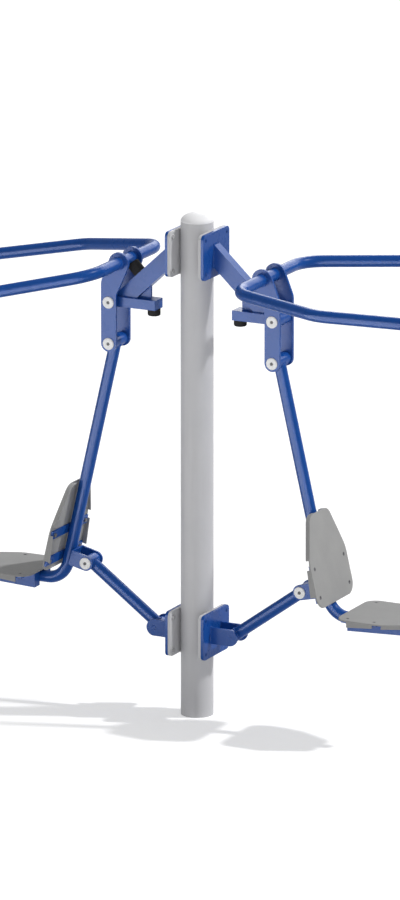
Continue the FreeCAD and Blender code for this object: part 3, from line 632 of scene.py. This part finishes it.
def lay_beads(name, loops, body, finish, slot):
    """Beads along the loops; a path of two points stays open."""
    corners = []
    edges = []
    for loop in loops:
        first = len(corners)
        corners += loop
        edges += [(first + step, first + step + 1) for step in range(len(loop) - 1)]
        if len(loop) > 2:
            edges.append((first + len(loop) - 1, first))
    paths = bpy.data.meshes.new(f"{name}_paths")
    paths.from_pydata(corners, edges, [])
    run_tree(
        beads,
        paths,
        name,
        body,
        slot,
        Bead_Radius=BEAD_RADIUS,
        Ripple_Pitch=RIPPLE_PITCH,
        Smallest=1 - RIPPLE_UNEVENNESS,
        Largest=1 + RIPPLE_UNEVENNESS,
        Seed=BEAD_SEED,
        Finish=finish,
    )


def turned(loops, facing):
    """The right station's loops, turned half round for the left one."""
    return [[Vector((point.x * facing, point.y * facing, point.z)) for point in loop] for loop in loops]


post_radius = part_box("post")[1].x
tube_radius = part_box("right_seat_tube")[1].y
bracket_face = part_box("right_upper_bracket_plate")[1].x
flange_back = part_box("post_flanges")[1].x - FLANGE_THICKNESS
flange_side = math.sqrt(post_radius**2 - flange_back**2)
flange_loops = []
for level in ("upper", "lower"):
    low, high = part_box(f"right_{level}_bracket_plate")
    flange_loops.append([
        Vector((flange_back, flange_side, low.z)),
        Vector((post_radius, 0, low.z)),
        Vector((flange_back, -flange_side, low.z)),
        Vector((flange_back, -flange_side, high.z)),
        Vector((post_radius, 0, high.z)),
        Vector((flange_back, flange_side, high.z)),
    ])
arm_points = node_points("right_upper_arm")
arm_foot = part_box("right_upper_arm")[0].z
bracket_loops = [
    foot_loop([point for point in arm_points if abs(point.x - bracket_face) < BEAD_RADIUS]),
    foot_loop([point for point in arm_points if abs(point.z - arm_foot) < BEAD_RADIUS]),
]
ear_points = node_points("right_lower_ears")
ear_roots = [point for point in ear_points if abs(point.x - bracket_face) < BEAD_RADIUS]
for sign in (-1, 1):
    bracket_loops.append(foot_loop([point for point in ear_roots if point.y * sign > 0]))

handle_centre = middle("right_main_axle") + HANDLE_FROM_PIVOT
lever_faces = [Vector((0, sign * face, 0)) for sign in (-1, 1) for face in LEVER_FACES]
lever_loops = [ring(handle_centre + face, tube_radius) for face in lever_faces]
hanger_low, hanger_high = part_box("right_hanger_hub")
hub_radius = (hanger_high.z - hanger_low.z) / 2
down_tube = Vector((math.sin(RECLINE), 0, -math.cos(RECLINE)))
to_front = Vector((math.cos(RECLINE), 0, math.sin(RECLINE)))
clevis_root = middle("right_link_pin") + to_front * (CLEVIS_FROM_TUBE - tube_radius)
seat_loops = [saddle(middle("right_hanger_hub"), down_tube, tube_radius, hub_radius)]
for sign in (-1, 1):
    beside = Vector((0, sign * tube_radius / 2, 0))
    seat_loops.append([clevis_root + beside + down_tube * CLEVIS_RISE * end for end in (-1, 1)])
link_ends = [(low + high) / 2 for low, high in solid_boxes("right_link_hubs")]
link_heading = (link_ends[1] - link_ends[0]).normalized()
link_loops = [
    saddle(link_ends[0], link_heading, tube_radius, hub_radius),
    saddle(link_ends[1], -link_heading, tube_radius, hub_radius),
]
beads = bead_tree()
both_flanges = [loop for facing in SIDES.values() for loop in turned(flange_loops, facing)]
both_brackets = [loop for facing in SIDES.values() for loop in turned(bracket_loops, facing)]
lay_beads("flange_welds", both_flanges, "post_frame", post_paint, "post_grey")
lay_beads("bracket_welds", both_brackets, "post_frame", blue_paint, "frame_blue")
for side, facing in SIDES.items():
    for body, loops in (("lever", lever_loops), ("seat_frame", seat_loops), ("link", link_loops)):
        bead_loops = turned(loops, facing)
        lay_beads(f"{side}_{body}_welds", bead_loops, f"{side}_{body}", blue_paint, "frame_blue")


# The seat and the backrest are the same tray, moulded in mid grey plastic.
# Its face has a fine moulded grain and is matt, and its rim is turned back, open at the bars.
def tray_moulding():
    finish = new_finish("tray_moulding", (0.33, 0.33, 0.33), 0.6, Specular_IOR_Level=0.03)
    point = surface_point(finish)
    clouds = speckle(finish, point, size=0.09, detail=3)
    flecks = speckle(finish, point, size=0.0016, detail=2)
    share = spread(finish, clouds, low=0, high=1)
    tone = blend_colours(finish, share, (0.315, 0.315, 0.314), (0.345, 0.345, 0.343))
    share = spread(finish, flecks, low=0, high=0.3, start=0.5, end=0.8)
    tone = blend_colours(finish, share, tone, (0.27, 0.27, 0.268))
    patches = speckle(finish, point, size=0.006, detail=4)
    scuffs = spread(finish, patches, low=0, high=0.5, start=0.5, end=0.8)
    share = worn_edges(finish, reach=0.0025, patches=scuffs)
    tone = blend_colours(finish, share, tone, (0.40, 0.395, 0.385))
    grain = speckle(finish, point, size=0.0011, detail=3)
    gloss = spread(finish, clouds, low=0.56, high=0.68)
    return link_finish(finish, tone, gloss, grain, relief=0.0003, strength=0.3)


tray_plastic = tray_moulding()
for side in SIDES:
    for piece in ("backrest_shell", "seat_shell"):
        dress(frame["nodes"][f"{side}_{piece}"], tray_plastic)


# A plain pale floor that reads as white and keeps the machine's shadow.
# Seen directly or by reflection it gives off a little light of its own, as a lit sweep does.
FLOOR_HALF = 30.0
floor_mesh = bpy.data.meshes.new("floor")
corners = [(x * FLOOR_HALF, y * FLOOR_HALF, 0) for x, y in ((-1, -1), (1, -1), (1, 1), (-1, 1))]
floor_mesh.from_pydata(corners, [], [range(4)])
floor = bpy.data.objects.new("floor", floor_mesh)
bpy.context.scene.collection.objects.link(floor)
FLOOR_LIFT = 0.32
floor_paint = new_finish(
    "floor_paint",
    (0.88, 0.88, 0.88),
    0.9,
    Specular_IOR_Level=0.0,
    Emission_Color=(1, 1, 1, 1),
)
seen = add_node(floor_paint, "LightPath").outputs
mirrored = add_node(
    floor_paint,
    "Math",
    {"operation": "MAXIMUM"},
    i0=seen["Is Glossy Ray"],
    i1=seen["Is Transmission Ray"],
).outputs[0]
either = add_node(
    floor_paint,
    "Math",
    {"operation": "MAXIMUM"},
    i0=seen["Is Camera Ray"],
    i1=mirrored,
).outputs[0]
lift = add_node(floor_paint, "Math", {"operation": "MULTIPLY"}, i0=either, i1=FLOOR_LIFT).outputs[0]
floor_shader = floor_paint.node_tree.nodes["Principled BSDF"]
floor_paint.node_tree.links.new(lift, floor_shader.inputs["Emission Strength"])
dress(floor, floor_paint)


# Studio light: an even white room and one soft lamp high on the right, behind the machine.
# The lamp throws the seats' shadows forward and to the left. Two wide panels, in front of
# the machine and behind it, only put a sheen on its glossy faces.
ROOM_LEVEL = 0.5
LAMP_LEVEL = 1.9
LAMP_SPREAD = math.radians(2.5)
TO_LAMP = Vector((0.605, 0.275, 0.745))
world = bpy.data.worlds.new("studio")
bpy.context.scene.world = world
world.use_nodes = True
world.node_tree.nodes["Background"].inputs["Color"].default_value = (1, 1, 1, 1)
world.node_tree.nodes["Background"].inputs["Strength"].default_value = ROOM_LEVEL
lamp = bpy.data.lights.new("high_lamp", "SUN")
lamp.energy = LAMP_LEVEL
lamp.angle = LAMP_SPREAD
lamp_object = bpy.data.objects.new("high_lamp", lamp)
lamp_object.rotation_euler = TO_LAMP.to_track_quat("Z", "Y").to_euler()
bpy.context.scene.collection.objects.link(lamp_object)


def hang_panel(name, middle, facing, width, height, brightness):
    """A wide panel that shows only as a sheen on glossy faces."""
    panel = bpy.data.lights.new(name, "AREA")
    panel.shape = "RECTANGLE"
    panel.size = width
    panel.size_y = height
    panel.energy = brightness * math.pi * width * height
    hung = bpy.data.objects.new(name, panel)
    hung.location = middle
    hung.rotation_euler = (-Vector(facing)).to_track_quat("Z", "Y").to_euler()
    hung.visible_camera = False
    hung.visible_diffuse = False
    bpy.context.scene.collection.objects.link(hung)


hang_panel(
    "front_panel",
    middle=(-0.25, -3.1, 1.5),
    facing=(0, 0.62, 0.785),
    width=7.0,
    height=4.84,
    brightness=15.0,
)
hang_panel(
    "back_panel",
    middle=(0.3, 4.5, 3.9),
    facing=(0, -0.87, -0.5),
    width=6.0,
    height=3.0,
    brightness=5.0,
)


# The camera stands far off, a little above the machine and round to its right.
# Its long lens gives the flat view of the photograph.
AZIMUTH = math.radians(26.836)
ELEVATION = math.radians(14.738)
DISTANCE = 27.9517
TARGET = Vector((0.00885, 0.00448, 0.95016))
FOCAL_PIXELS = 8078.76
IMAGE_HEIGHT = 900
camera_data = bpy.data.cameras.new("camera")
camera_data.sensor_fit = "VERTICAL"
camera_data.sensor_height = 24
camera_data.lens = camera_data.sensor_height * FOCAL_PIXELS / IMAGE_HEIGHT
camera_data.clip_end = 200
camera = bpy.data.objects.new("camera", camera_data)
backward = Vector((
    math.sin(AZIMUTH) * math.cos(ELEVATION),
    -math.cos(AZIMUTH) * math.cos(ELEVATION),
    math.sin(ELEVATION),
))
camera.location = TARGET + backward * DISTANCE
camera.rotation_euler = (math.pi / 2 - ELEVATION, 0, AZIMUTH)
bpy.context.scene.collection.objects.link(camera)
bpy.context.scene.camera = camera
bpy.context.scene.view_settings.view_transform = "Standard"
